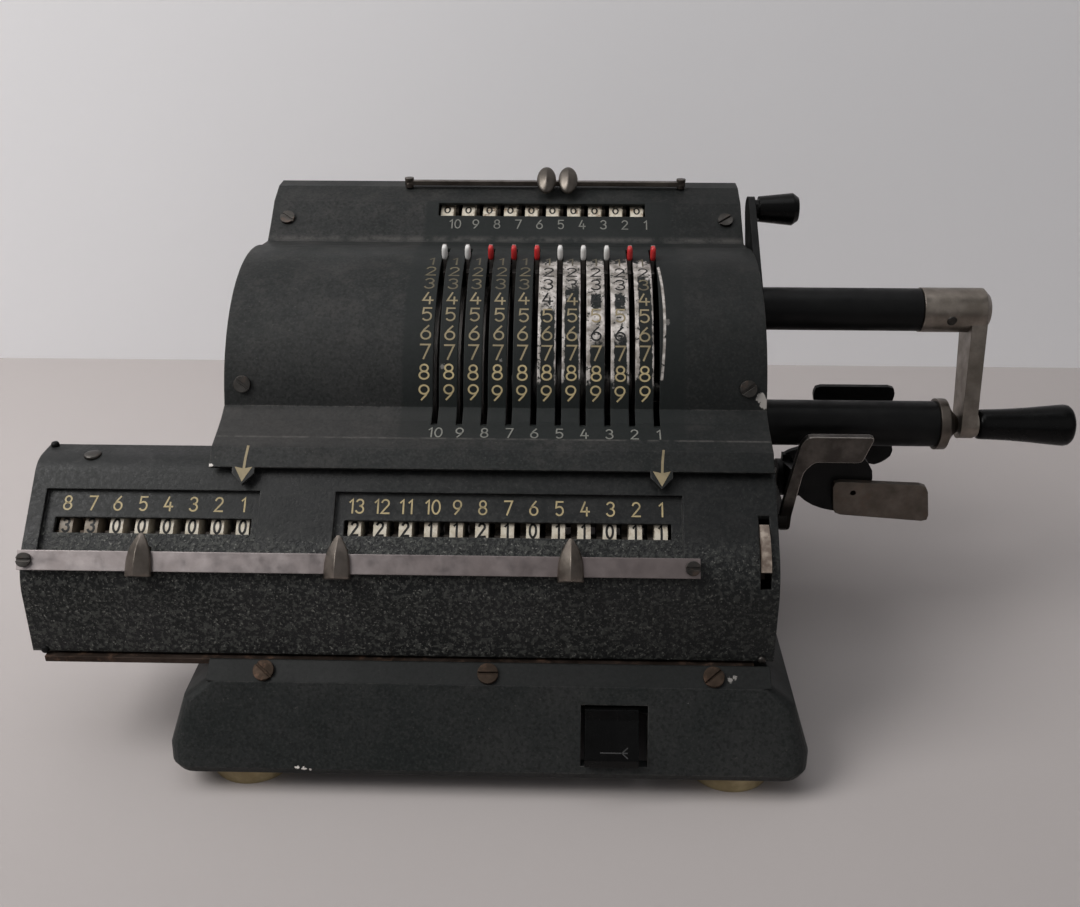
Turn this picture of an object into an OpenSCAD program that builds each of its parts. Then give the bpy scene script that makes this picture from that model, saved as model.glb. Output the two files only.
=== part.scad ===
// Pinwheel calculator: ten setting levers, an 8-place counter and a 13-place result register.
// X runs to the operator's right, Y to the back and Z up. The origin is on the table plane,
// midway between the four feet.

/* [Registers] */
// Distance from one decimal place to the next
digit_pitch = 7.8; // [7.6:0.1:8.2]
// Number of setting levers and check dials
setting_places = 10; // [10:1:10]
// Number of result wheels
result_places = 13; // [11:1:13]
// Number of counter wheels
counter_places = 8; // [6:1:8]
// X of the slot of the lowest setting lever
first_slot_x = 51.6; // [48:0.2:52]
// X of the lowest counter wheel
first_counter_x = -75.8; // [-77:0.2:-75]

/* [Housing] */
// Width of the upper cover
cover_w = 173; // [171:1:176]
// Thickness of the pressed cover sheet
cover_t = 1.2; // [1:0.1:1.4]
// Outer radius of the cover's round front
cover_r = 51; // [50.6:0.1:51.6]
// Width of a lever slot
slot_w = 1.95; // [1.7:0.05:2]
// Thickness of a side plate
plate_t = 5; // [4:0.5:5.5]
// Distance of a side plate's outer face from the cover's end
plate_inset = 3.5; // [3:0.5:5]
// Height of the base's deck above the table
deck_z = 35.2; // [33:0.2:38]
// Height of the base's lower edge above the table
base_gap = 7.3; // [6:0.1:8]
// Wall of the cast base
base_wall = 3; // [2.4:0.2:4]
// How far the base flares beyond the cover at each end
base_flare = 12; // [8:0.5:14]

/* [Feet] */
// Distance between the left and right feet
foot_dx = 151.4; // [140:0.2:154]
// Distance between the front and rear feet
foot_dy = 138; // [130:1:140]
// Largest diameter of a foot
foot_d = 30; // [24:1:31]
// Height of a foot
foot_h = 10; // [9:0.5:11]
// Diameter of the counterbore in a foot's underside
foot_bore_d = 10; // [9:0.5:12]

/* [Mechanism] */
// Height of the drum axis above the deck
drum_rise = 51.5; // [51:0.1:52]
// Y of the drum axis
drum_y = 28; // [27.8:0.1:28.4]
// Radius of the pinwheels
pinwheel_r = 37; // [34:0.5:38]
// Diameter of the drum shaft
drum_shaft_d = 8; // [7:0.5:9]
// Turn of a setting lever from one digit to the next
digit_angle = 7.333; // [7.2:0.001:7.4]
// Distance of the check dial axis from the drum axis
dial_centre_distance = 61; // [60.6:0.1:61.2]
// Radius of a check dial
dial_r = 13.8; // [13.6:0.1:13.9]
// Thickness of a setting lever
lever_t = 1.3; // [1.1:0.1:1.4]
// Radius to the tip of a setting lever
lever_tip_r = 55.6; // [54:0.2:57]

/* [Crank] */
// Pitch radius of the two equal crank gears
crank_gear_r = 15.8; // [15.4:0.1:16.2]
// Outer diameter of the crank tube
crank_tube_d = 14.8; // [14:0.2:17]
// X of the crank tube's free end
crank_tube_end = 145; // [140:0.2:150]
// Radius of the crank arm
crank_r = 40.4; // [38:0.2:42]
// Forward lean of the crank arm at rest
crank_lean = 14; // [12:0.5:16]
// Length of the crank handle
handle_len = 33; // [28:1:40]
// Diameter of the stop tube
stop_tube_d = 16.2; // [15:0.2:17]

/* [Carriage] */
// Length of the carriage
carriage_w = 228.7; // [226:0.1:232]
// X of the carriage's right end with the carriage at its left stop
carriage_right = 87.2; // [86:0.1:88]
// Height of the carriage's lower edge above the deck
carriage_gap = 3.2; // [2.4:0.1:4.4]
// Thickness of the carriage cover
carriage_t = 1.4; // [1.2:0.1:1.6]
// Depth of the two register recesses
recess_depth = 1.5; // [1:0.1:2]
// Radius of the number wheels
wheel_r = 10; // [9:0.1:10.2]
// Height of the decimal bar
bar_h = 6; // [5:0.1:6.6]

/* [Hidden] */
$fn = 48;
eps = 0.01;
fit = 0.3;
run_fit = 0.2;

paint = [0.13, 0.15, 0.14];
wrinkle = [0.08, 0.09, 0.085];
black = [0.05, 0.05, 0.055];
nickel = [0.55, 0.53, 0.49];
steel = [0.45, 0.44, 0.43];
cream = [0.82, 0.77, 0.66];

// ---- shared axes, each as [Y, Z] ----
drum_axis = [drum_y, deck_z + drum_rise];
crank_axis = drum_axis + [0, 2 * crank_gear_r];
handle_axis = crank_axis - crank_r * [sin(crank_lean), cos(crank_lean)];
dial_dir = 44.5;
dial_axis = drum_axis + dial_centre_distance * [cos(dial_dir), sin(dial_dir)];

// ---- side plates and cover ends ----
cover_x = cover_w / 2;
plate_out_x = cover_x - plate_inset;
plate_in_x = plate_out_x - plate_t;
plate_mid_x = plate_out_x - plate_t / 2;

// ---- small helpers ----
// Point at angle a about c, measured from the front over the top
function polar(c, r, a) = c + r * [-cos(a), sin(a)];
function unit(v) = v / norm(v);
function span(c, low, high) = [c + low, c + high];
function seg_normal(a, b, side) = let (d = unit(b - a)) side * [-d[1], d[0]];
function mitre(n1, n2, t) = (n1 + n2) * t / (1 + n1 * n2);
function reverse(p) = [for (i = [len(p) - 1:-1:0]) p[i]];
// The polyline p moved sideways by t, to its left where side is 1
function inset(p, t, side) = [for (i = [0:len(p) - 1])
    i == 0 ? p[0] + t * seg_normal(p[0], p[1], side)
    : i == len(p) - 1 ? p[i] + t * seg_normal(p[i - 1], p[i], side)
    : p[i] + mitre(seg_normal(p[i - 1], p[i], side), seg_normal(p[i], p[i + 1], side), t)];

// The outline p with each corner cut back by up to r and rounded
function soften(p, r) = let (n = len(p)) [for (i = [0:n - 1])
    let (b = p[i],
         a = b + unit(p[(i + n - 1) % n] - b) * min(r, 0.45 * norm(p[(i + n - 1) % n] - b)),
         c = b + unit(p[(i + 1) % n] - b) * min(r, 0.45 * norm(p[(i + 1) % n] - b)))
    each [a, (a + 2 * b + c) / 4, c]];

// Extrudes a [Y, Z] outline from x0 to x1
module along_x(x0, x1) {
    translate([x0, 0, 0]) rotate([90, 0, 90]) linear_extrude(x1 - x0) children();
}
module rod(x0, x1, d, at) {
    translate([x0, at[0], at[1]]) rotate([0, 90, 0]) cylinder(d = d, h = x1 - x0);
}
// A round that tapers along X from diameter d0 to d1
module cone_rod(x0, x1, d0, d1, at) {
    translate([x0, at[0], at[1]]) rotate([0, 90, 0]) cylinder(d1 = d0, d2 = d1, h = x1 - x0);
}
module box(x, y, z) {
    translate([x[0], y[0], z[0]]) cube([x[1] - x[0], y[1] - y[0], z[1] - z[0]]);
}
// The part of a disc about c between angles a0 and a1, both less than 180 degrees apart
module sector(c, r, a0, a1) {
    intersection() {
        translate(c) circle(r, $fn = 96);
        polygon([c, polar(c, 3 * r, a0), polar(c, 3 * r, (a0 + a1) / 2), polar(c, 3 * r, a1)]);
    }
}
module ring_sector(c, r0, r1, a0, a1) {
    difference() {
        sector(c, r1, a0, a1);
        translate(c) circle(r0, $fn = 96);
    }
}
// A place on a slope: Y' runs up the slope, Z' away from it
module on_slope(at, slope) {
    translate([0, at[0], at[1]]) rotate([slope, 0, 0]) children();
}
// A flat link from x0 to x1 between two round bosses
module link(x0, x1, a, ra, b, rb) {
    d = norm(b - a);
    t = asin((ra - rb) / d);
    along = unit(b - a);
    across = [-along[1], along[0]];
    // The flanks start a little inside the bosses, so that they cross them
    function foot(c, r, s) = c + (r - 0.03) * (sin(t) * along + s * cos(t) * across);
    along_x(x0, x1)
        polygon([foot(a, ra, 1), foot(b, rb, 1), foot(b, rb, -1), foot(a, ra, -1)]);
    rod(x0, x1, 2 * ra, a);
    rod(x0, x1, 2 * rb, b);
}
// Gear teeth of flat flanks: n teeth of the full circle, from number i0 to i1
module teeth(r, n, add, ded, width, i0, i1) {
    step = 360 / n;
    half = step * width / 2;
    for (i = [i0:i1]) rotate(i * step)
        polygon([for (q = [[r - ded - 0.4, 1.45], [r, 1], [r + add, 0.5]])
                 q[0] * [cos(half * q[1]), -sin(half * q[1])],
                 for (q = [[r + add, 0.5], [r, 1], [r - ded - 0.4, 1.45]])
                 q[0] * [cos(half * q[1]), sin(half * q[1])]]);
}
module slotted_screw(head_d, head_h, shank_d, shank_l) {
    difference() {
        cylinder(d = head_d, h = head_h);
        translate([-head_d, -0.4, head_h * 0.45]) cube([2 * head_d, 0.8, head_h]);
    }
    translate([0, 0, -shank_l]) cylinder(d = shank_d, h = shank_l + eps);
}

// ---- base ----
ledge_z = deck_z + 2.8;
crease_z = deck_z - 1.1;
deck_front_y = -69.4;
crease_y = -75.1;
base_front_y = -86.8;
base_rear_y = 88.7;
deck_rear_y = 86.3;
foot_places = [for (x = [-1, 1], y = [-1, 1]) [x * foot_dx / 2, y * foot_dy / 2]];
foot_head_d = foot_bore_d - 2;
foot_pocket_z = 6.2;
foot_shank_d = 4;
boss_d = 14;
// Y of the base's front face at height z
function front_y(z) = crease_y + (base_front_y - crease_y) * (crease_z - z) / (crease_z - base_gap);

key_x0 = 29.6;
key_w = 16.3;
key_travel = 1.6;
key_gap = 1.2;
key_z0 = 12.8;
key_z1 = 28;
key_pivot = [-68, (key_z0 + key_z1) / 2];

module base_corners(z, x, y0, y1, r) {
    for (sx = [-1, 1], y = [y0 + r, y1 - r]) translate([sx * (x - r), y, z])
        cylinder(r = r, h = eps, $fn = 24);
}
// The flared block of the base, with its walls moved inwards by t and its roof down by roof
module base_block(t, roof) {
    hull() {
        base_corners(crease_z - roof - eps, cover_x - 0.7 - t, crease_y + t, deck_rear_y - t, 3);
        base_corners(28, cover_x + 0.6 * base_flare - t, front_y(28) + 0.3 + t,
                  deck_rear_y + 0.3 - t, 4);
        base_corners(14, cover_x + base_flare - 0.3 - t, front_y(14) + 0.3 + t,
                  base_rear_y - 1.1 - t, 6);
        base_corners(base_gap + 2.4, cover_x + base_flare - 0.6 - t, base_front_y + 0.8 + t,
                  base_rear_y - 0.6 - t, 7);
        base_corners(base_gap - (t > 0 ? 1 : 0), cover_x + base_flare - 1.6 - t,
                  base_front_y + 1.6 + t, base_rear_y - 1.6 - t, 7);
    }
}
module base_screw_place(i) {
    ledge_slope = atan2(ledge_z - crease_z, deck_front_y - crease_y);
    mid = [(deck_front_y + crease_y) / 2, (ledge_z + crease_z) / 2];
    translate([i * (cover_x - 18), 0, 0]) on_slope(mid, ledge_slope) children();
}
module base() {
    color(paint) difference() {
        union() {
            difference() {
                union() {
                    base_block(0, 0);
                    along_x(-cover_x + 0.7, cover_x - 0.7)
                        polygon([[crease_y, crease_z - eps], [deck_front_y, ledge_z],
                                 [deck_front_y + 0.5, ledge_z], [deck_front_y + 0.5, deck_z],
                                 [deck_rear_y, deck_z], [deck_rear_y, crease_z - eps]]);
                }
                base_block(base_wall, base_wall);
                box([-cover_x + 28.5, cover_x - 26.5], [-50, 76],
                    [crease_z - base_wall - 1, deck_z + 1]);
            }
            for (p = foot_places) translate([p[0], p[1], foot_h])
                cylinder(d = boss_d, h = crease_z - base_wall - foot_h + 1);
            for (x = [key_x0 - key_gap - 5, key_x0 + key_w + key_gap + key_travel + 2])
                along_x(x, x + 3)
                    polygon([[front_y(key_z0) + 1, key_z0], [front_y(key_z1) + 1, key_z1],
                             [key_pivot[0] + 4, key_z1], [key_pivot[0] + 4, key_z0]]);
            rod(key_x0 - key_gap - 3, key_x0 + key_w + key_gap + key_travel + 3, 3, key_pivot);
        }
        box([key_x0 - key_gap, key_x0 + key_w + key_gap + key_travel], [-100, -74],
            [key_z0 - 1, key_z1 + 1]);
        for (p = foot_places) translate([p[0], p[1], foot_h - 1])
            cylinder(d = foot_shank_d + 0.2, h = 17);
        for (i = [-1:1]) base_screw_place(i) translate([0, 0, -9]) cylinder(d = 3.2, h = 12);
    }
}
module feet() {
    color([0.35, 0.31, 0.2]) for (p = foot_places) translate([p[0], p[1], 0]) difference() {
        union() {
            cylinder(d1 = foot_d - 3, d2 = foot_d, h = base_gap - fit);
            cylinder(d = foot_bore_d + 12, h = foot_h);
        }
        translate([0, 0, -1]) cylinder(d = foot_bore_d, h = 4);
        translate([0, 0, 2]) cylinder(d = foot_head_d + 0.6, h = foot_pocket_z - 2);
        translate([0, 0, 5]) cylinder(d = foot_shank_d + 0.4, h = foot_h);
    }
}
module foot_screws() {
    color(steel) for (p = foot_places) translate([p[0], p[1], foot_pocket_z])
        rotate([180, 0, 0]) slotted_screw(foot_head_d, 2.6, foot_shank_d, 18);
}
module base_screws() {
    color([0.35, 0.24, 0.17]) for (i = [-1:1]) base_screw_place(i)
        rotate(40 * i) slotted_screw(6.4, 1.1, 3, 8);
}

// ---- upper cover ----
front_a = 17.5;
rear_a = 100;
slot_front_a = 11.9;
slot_rear_a = 96;
front_top = polar(drum_axis, cover_r, front_a);
rear_top = polar(drum_axis, cover_r, rear_a);
// Both outlines start a little inside the round front, so that they cross it
skirt = concat([polar(drum_axis, cover_r - 0.6, front_a)],
               [for (d = [[-5.2, -3], [-11.2, -4.9], [-17.5, -6.7], [-22.4, -11.1]])
                front_top + d]);
roof = concat([polar(drum_axis, cover_r - 0.6, 90)],
              [for (d = [[14.7, -2.6], [20.8, 1.4], [29.9, 8.2], [39.3, 11.7],
                         [46.4, 12], [49.8, 9.4]]) rear_top + d],
              [[rear_top[0] + 50.4, deck_z]]);
lip = skirt[4];
lip_up = unit(skirt[3] - skirt[4]);
lip_slope = atan2(lip_up[1], lip_up[0]);
panel_slope = atan2(roof[3][1] - roof[2][1], roof[3][0] - roof[2][0]);
panel_n = [-sin(panel_slope), cos(panel_slope)];
window_mid = roof[2] + 0.7 * (roof[3] - roof[2]);
rail_yz = [roof[4][0] - 1, roof[5][1] + 0.6];
function slot_x(k) = first_slot_x - (k - 1) * digit_pitch;
first_result_x = first_slot_x + 0.6;
function result_x(k) = first_result_x - (k - 1) * digit_pitch;
// In a short carriage the counter wheels stand further in, clear of its left end
counter_margin = 8.4;
last_counter_x = first_counter_x - (counter_places - 1) * digit_pitch;
counter_inward = max(0, carriage_right - carriage_w + counter_margin - last_counter_x);
function counter_x(k) = first_counter_x + counter_inward - (k - 1) * digit_pitch;
cover_screw_places = [[roof[2] + 0.3 * (roof[3] - roof[2]), panel_slope],
                      [polar(drum_axis, cover_r, 24.5), 90 - 24.5]];

module cover_outside() {
    translate(drum_axis) circle(cover_r, $fn = 96);
    polygon(concat([inset(skirt, cover_t, 1)[4]], reverse(skirt), roof));
}
// Everything under the sheet, reaching below the deck so that the underside is open
module cover_inside() {
    front = inset(skirt, cover_t, 1);
    rear = inset(roof, cover_t, -1);
    front_end = front[4] - 9 * lip_up;
    translate(drum_axis) circle(cover_r - cover_t, $fn = 96);
    polygon(concat([[front_end[0], deck_z - 50], front_end], reverse(front), rear,
                   [[rear[7][0], deck_z - 50]]));
}
module cover_screw_at(side, place) {
    translate([side * plate_mid_x, 0, 0]) on_slope(place[0], place[1]) children();
}
module upper_cover() {
    color(paint) {
        difference() {
            along_x(-cover_x, cover_x) difference() {
                cover_outside();
                cover_inside();
            }
            for (k = [1:setting_places])
                along_x(slot_x(k) - slot_w / 2, slot_x(k) + slot_w / 2)
                    polygon([drum_axis, polar(drum_axis, 80, slot_front_a),
                             polar(drum_axis, 90, 60), polar(drum_axis, 80, slot_rear_a)]);
            on_slope(window_mid, panel_slope)
                box([dial_x(setting_places) - 3, dial_x(1) + 3], [-2.9, 2.9], [-4, 4]);
            for (side = [-1, 1], place = cover_screw_places) cover_screw_at(side, place)
                translate([0, 0, -4]) cylinder(d = 3.4, h = 8);
        }
        for (x = [counter_x(1), first_result_x]) translate([x, 0, 0]) on_slope(lip, lip_slope)
            translate([0, 0, -cover_t]) linear_extrude(cover_t)
                polygon([[-3.4, 0.6], [3.4, 0.6], [3.4, -2], [0, -5.6], [-3.4, -2]]);
    }
}
module cover_screws() {
    color(steel) for (side = [-1, 1], place = cover_screw_places) cover_screw_at(side, place)
        rotate(side * 35) slotted_screw(5.4, 1.1, 3, 8);
}

// ---- side plates and what they carry ----
plate_front_y = -20;
dial_axle_d = 4;
guide_y = [-19.5, -15.5];
guide_z = [57, 65] + [1, 1] * (deck_z - 35.2);
clear_pivot = [33, deck_z + 14];
clear_shaft_d = 7;
module side_plate(side) {
    x0 = side > 0 ? plate_in_x : -plate_out_x;
    under = cover_t + 0.15;
    difference() {
        intersection() {
            union() {
                rod(x0, x0 + plate_t, 2 * (cover_r - under), drum_axis);
                along_x(x0, x0 + plate_t)
                    polygon(concat([[skirt[4][0], deck_z]], reverse(inset(skirt, under, 1)),
                                   inset(roof, under, -1)));
            }
            box([x0, x0 + plate_t], [plate_front_y, 200], [deck_z, 300]);
        }
        rod(x0 - 1, x0 + plate_t + 1, drum_shaft_d + 2 * run_fit, drum_axis);
        rod(x0 - 1, x0 + plate_t + 1, dial_axle_d + 0.1, dial_axis);
        for (place = cover_screw_places) cover_screw_at(side, place)
            translate([0, 0, -9]) cylinder(d = 3.2, h = 12);
        if (side > 0)
            rod(x0 - 1, x0 + plate_t + 1, crank_shaft_d + 2 * run_fit, crank_axis);
    }
}
module side_plate_left() {
    color(black) side_plate(-1);
}
module side_plate_right() {
    color(black) side_plate(1);
}
module dial_axle() {
    color(steel) rod(-plate_out_x, plate_out_x, dial_axle_d, dial_axis);
}
module carriage_guide() {
    color(steel) box([-plate_in_x, plate_in_x], guide_y, guide_z);
}
module top_rail() {
    ends = [slot_x(setting_places) - 18.2, slot_x(1) + 13.4];
    color(steel) {
        box([ends[0] - 1.5, ends[1] + 1.5], span(rail_yz[0], -1.2, 1.2), span(rail_yz[1], 0, 1.6));
        for (x = ends) translate([x, rail_yz[0], rail_yz[1] + 1.6]) {
            difference() {
                cylinder(d = 3.4, h = 1);
                translate([-3, -0.3, 0.5]) cube([6, 0.6, 1]);
            }
            translate([0, 0, -2.55]) cylinder(d = 3, h = 1.6);
        }
    }
}

// ---- crank ----
crank_shaft_d = 8;
collar_d = crank_tube_d + 0.6;
stop_tube_end = crank_tube_end + 8.9;
stop_cap_tip = stop_tube_end + 7.6;
arm_x = [stop_cap_tip + 0.5, stop_cap_tip + 7];
handle_pin_d = 5;
gear_teeth = 24;
gear_x = [plate_in_x - 12, plate_in_x - 6];
module crank_gear(phase) {
    rotate(phase) {
        circle(crank_gear_r - 1.5);
        teeth(crank_gear_r, gear_teeth, 1, 1.1, 0.44, 0, gear_teeth - 1);
    }
}
module crank_tube() {
    color(black) difference() {
        rod(plate_out_x, crank_tube_end, crank_tube_d, crank_axis);
        rod(plate_out_x - 1, crank_tube_end + 1, crank_shaft_d + 2 * run_fit, crank_axis);
    }
}
module crank_shaft() {
    color(steel) {
        rod(gear_x[0] - 4, arm_x[0], crank_shaft_d, crank_axis);
        translate([gear_x[0], crank_axis[0], crank_axis[1]]) rotate([90, 0, 90])
            linear_extrude(gear_x[1] - gear_x[0]) crank_gear(0);
    }
}
module crank_arm() {
    color(nickel) {
        difference() {
            rod(crank_tube_end + 0.3, arm_x[1] - 2, collar_d, crank_axis);
            rod(crank_tube_end, arm_x[0], crank_shaft_d, crank_axis);
        }
        cone_rod(arm_x[1] - 2, arm_x[1], collar_d, collar_d - 4, crank_axis);
        link(arm_x[0], arm_x[1] - 1.2, crank_axis, 6.4, handle_axis, 5);
        rod(arm_x[1] - 1.3, arm_x[1], 9, handle_axis);
        rod(arm_x[1] - 0.1, arm_x[1] + handle_len - 4, handle_pin_d, handle_axis);
    }
}
module crank_handle() {
    x = arm_x[1] + 0.3;
    color(black) difference() {
        union() {
            rod(x, x + 2.6, 10, handle_axis);
            cone_rod(x + 2.6, x + handle_len - 5, 9.6, 13.2, handle_axis);
            cone_rod(x + handle_len - 5, x + handle_len - 1.6, 13.2, 12.4, handle_axis);
            cone_rod(x + handle_len - 1.6, x + handle_len, 12.4, 9.4, handle_axis);
        }
        rod(x - 1, arm_x[1] + handle_len - 3.5, handle_pin_d + 2 * run_fit, handle_axis);
    }
}
module stop_tube() {
    color(black) rod(plate_out_x, stop_tube_end, stop_tube_d, handle_axis);
}
module stop_cap() {
    color(nickel) {
        rod(stop_tube_end, stop_tube_end + 3.2, stop_tube_d + 2, handle_axis);
        cone_rod(stop_tube_end + 3.2, stop_cap_tip - 1.6, stop_tube_d + 0.8, 9, handle_axis);
        cone_rod(stop_cap_tip - 1.6, stop_cap_tip, 9, 6, handle_axis);
    }
}

// ---- pinwheels, setting levers and check dials ----
hub_d = 18.6;
dial_teeth = 20;
// Tooth height above the pitch circle, as a share of the pitch radius of a dial
tooth_share = 0.72 * 2 / dial_teeth;
// The lever teeth reach to half a millimetre under the cover's sheet
dial_pitch_r = (dial_centre_distance - (cover_r - cover_t - 0.5)) / (1 - tooth_share);
lever_pitch_r = dial_centre_distance - dial_pitch_r;
dial_ratio = lever_pitch_r / dial_pitch_r;
lever_teeth = dial_teeth * dial_ratio;
// Where a lever's toothed plate begins and ends, as turns from the front over the top
lever_plate_a = [80, 214];
first_tooth = -floor((dial_dir + lever_plate_a[1] - 180) * lever_teeth / 360);
tooth_add = tooth_share * dial_pitch_r;
tooth_ded = tooth_add + 0.3;
finger_a = 84.5;
finger_w = 3.2;
function dial_x(k) = slot_x(k) - 3.3;
module about_drum(x0, x1) {
    translate([x0, drum_axis[0], drum_axis[1]]) rotate([90, 0, 90]) linear_extrude(x1 - x0)
        children();
}
module drum_shaft() {
    color(steel) {
        rod(-plate_out_x, plate_out_x, drum_shaft_d, drum_axis);
        about_drum(gear_x[0], gear_x[1]) crank_gear(360 / gear_teeth / 2);
    }
}
module pinwheels() {
    color(steel) difference() {
        union() {
            rod(slot_x(setting_places) - 6, slot_x(1) + 1.4, hub_d, drum_axis);
            for (k = [1:setting_places]) about_drum(slot_x(k) - 5.4, slot_x(k) - 1.4) {
                circle(pinwheel_r, $fn = 96);
                for (i = [0:8]) rotate(200 + 12 * i)
                    translate([pinwheel_r - 2, -0.9]) square([3, 1.8]);
            }
        }
        rod(-cover_x, cover_x, drum_shaft_d, drum_axis);
    }
}
module setting_lever(k) {
    tip = lever_tip_r - finger_w / 2;
    root_r = lever_pitch_r - tooth_ded;
    color(steel) about_drum(slot_x(k) - lever_t / 2, slot_x(k) + lever_t / 2) difference() {
        union() {
            circle(14);
            sector([0, 0], root_r, lever_plate_a[0], lever_plate_a[1]);
            rotate(180 - finger_a) {
                translate([root_r - 6, -finger_w / 2]) square([tip - root_r + 6, finger_w]);
                translate([tip, 0]) circle(finger_w / 2);
            }
            rotate(dial_dir)
                teeth(lever_pitch_r, lever_teeth, tooth_add, tooth_ded, 0.4, first_tooth, 1);
        }
        circle(d = hub_d + 2 * fit);
        for (a = [112, 148, 184]) translate(polar([0, 0], 30, a)) circle(8);
    }
}
module check_dial(k) {
    x = slot_x(k);
    color(cream) difference() {
        union() {
            rod(x - 5.6, x - 1, 2 * dial_r, dial_axis);
            translate([x - 1 - eps, dial_axis[0], dial_axis[1]]) rotate([90, 0, 90])
                linear_extrude(1.7) rotate(dial_dir + 180 + 180 / dial_teeth) {
                    circle(dial_pitch_r - tooth_ded);
                    teeth(dial_pitch_r, dial_teeth, tooth_add, tooth_ded, 0.4, 0,
                          dial_teeth - 1);
                }
        }
        rod(x - 6, x + 2, dial_axle_d + 2 * run_fit, dial_axis);
    }
}

// ---- setting-clear lever ----
clear_knob_yz = polar(crank_axis, 38.5, 133);
clear_arm_x = [cover_x + 0.5, cover_x + 2.9];
module setting_clear_lever() {
    color(black) difference() {
        link(clear_arm_x[0], clear_arm_x[1], crank_axis, 12, clear_knob_yz, 4.4);
        rod(clear_arm_x[0] - 1, clear_arm_x[1] + 1, crank_tube_d + 2 * fit, crank_axis);
    }
}
module setting_clear_knob() {
    x = clear_arm_x[1];
    color(black) {
        rod(x, x + 1.6, 6.6, clear_knob_yz);
        cone_rod(x + 1.6, x + 13.6, 9, 11.4, clear_knob_yz);
        cone_rod(x + 13.6, x + 15.6, 11.4, 8.6, clear_knob_yz);
    }
}

// ---- carriage ----
car_left = carriage_right - carriage_w;
car_z = deck_z + carriage_gap;
front_c = [-44.2, car_z + 17.8];
front_r = 21.5;
top_r = 10;
slope_a = 46.8;
slope_n = [-cos(slope_a), sin(slope_a)];
car_top_z = car_z + 52.3;
car_rear_y = -28.3;
top_c_z = car_top_z - top_r;
top_c = [front_c[0] + ((top_c_z - front_c[1]) * sin(slope_a) - (front_r - top_r))
         / cos(slope_a), top_c_z];
slope_foot = polar(front_c, front_r, slope_a);
axle_d = 4;
wheel_window = [4.4, 9.4];
recess_s = [-4, 18];
wheel_axis = slope_foot + 7 * [sin(slope_a), cos(slope_a)]
    - (wheel_r + recess_depth + carriage_t + 0.1) * slope_n;
wheel_w = 4;
end_t = 2;
module carriage_section(i, low) {
    sector(front_c, front_r - i, 0, slope_a);
    sector(top_c, top_r - i, slope_a, 90);
    polygon([[front_c[0] - front_r - 1.2 + i, low], [front_c[0] - front_r + i, front_c[1]],
             front_c, polar(front_c, front_r - i, slope_a), polar(top_c, top_r - i, slope_a),
             [top_c[0], car_top_z - i], [car_rear_y - i, car_top_z - i], [car_rear_y - i, low]]);
}
module recess(x0, x1, grow, deep) {
    on_slope(slope_foot, 90 - slope_a)
        box([x0 - grow, x1 + grow], recess_s + [-grow, grow], [-deep, grow > 0 ? -0.2 : 5]);
}
recesses = [[counter_x(counter_places) - 6.4, counter_x(1) + 5.1],
            [result_x(result_places) - 6, result_x(1) + 6.4]];
windows = [[counter_x(counter_places) - 3, counter_x(1) + 3],
           [result_x(result_places) - 3, result_x(1) + 3]];
transfer_x = [carriage_right - 5.6, carriage_right - 2.8];
frame_h = 33.5;
module carriage_cover() {
    color(wrinkle) difference() {
        union() {
            difference() {
                along_x(car_left, carriage_right) carriage_section(0, car_z);
                along_x(car_left + end_t, carriage_right - end_t)
                    carriage_section(carriage_t, car_z - 1);
                box([car_left + end_t, carriage_right - end_t],
                    span(car_rear_y, -2, 1), [car_z - 1, car_z + frame_h + 0.1]);
            }
            for (r = recesses) recess(r[0], r[1], carriage_t, recess_depth + carriage_t);
        }
        for (r = recesses) recess(r[0], r[1], 0, recess_depth);
        for (w = windows) on_slope(slope_foot, 90 - slope_a) box(w, wheel_window, [-6, 5]);
        along_x(transfer_x[0] - 0.3, transfer_x[1] + 0.3)
            ring_sector(front_c, front_r - 4, front_r + 6, 18, 76);
        for (x = bar_screw_x) translate([x, 0, 0]) on_slope(bar_mid, 90 - bar_a)
            translate([0, 0, -6]) cylinder(d = 2.6, h = 8);
    }
}
frame_x = [car_left + end_t + 0.1, carriage_right - end_t - 0.1];
bracket_x = [car_left + 4, (counter_x(1) + result_x(result_places)) / 2 - 1.5,
             result_x(1) + 8];
shoes = [[-75, -57], [2, 20]];
// Openings for the gears that drive the result wheels
rear_slots = [[-54, -1], [23, 56]];
rear_slot_z = guide_z + [-5, 3];
module carriage_frame() {
    front_in = front_c[0] - front_r + carriage_t + 0.1;
    color(steel) {
        box(frame_x, [front_in, car_rear_y], [car_z, car_z + 3]);
        difference() {
            box(frame_x, span(car_rear_y, -3, 0), [car_z, car_z + frame_h]);
            for (x = rear_slots) box(x, span(car_rear_y, -4, 1), rear_slot_z);
        }
        for (x = bracket_x) along_x(x, x + 3) {
            polygon([[wheel_axis[0] - 9, car_z + 2], [wheel_axis[0] + 8, car_z + 2],
                     wheel_axis + [4.5, 0], wheel_axis - [4.5, 0]]);
            translate(wheel_axis) circle(4.5);
        }
        rod(bracket_x[0], bracket_x[2] + 3, axle_d, wheel_axis);
        along_x(transfer_x[0] - 5, transfer_x[0] - 2) {
            polygon([[front_c[0] - 8, car_z + 2], [front_c[0] + 8, car_z + 2],
                     front_c + [4, 0], front_c - [4, 0]]);
            translate(front_c) circle(4);
        }
        rod(transfer_x[0] - 3, transfer_x[1] + 0.4, 4, front_c);
        for (s = shoes) along_x(s[0], s[1])
            polygon([[car_rear_y - 1, guide_z[0] - 2], [guide_y[0] - fit, guide_z[0] - 2],
                     [guide_y[0] - fit, guide_z[1] + fit], [guide_y[1] + fit, guide_z[1] + fit],
                     [guide_y[1] + fit, guide_z[1] - 4], [guide_y[1] + fit + 2.4, guide_z[1] - 4],
                     [guide_y[1] + fit + 2.4, guide_z[1] + 3], [car_rear_y - 1, guide_z[1] + 3]]);
    }
}
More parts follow.
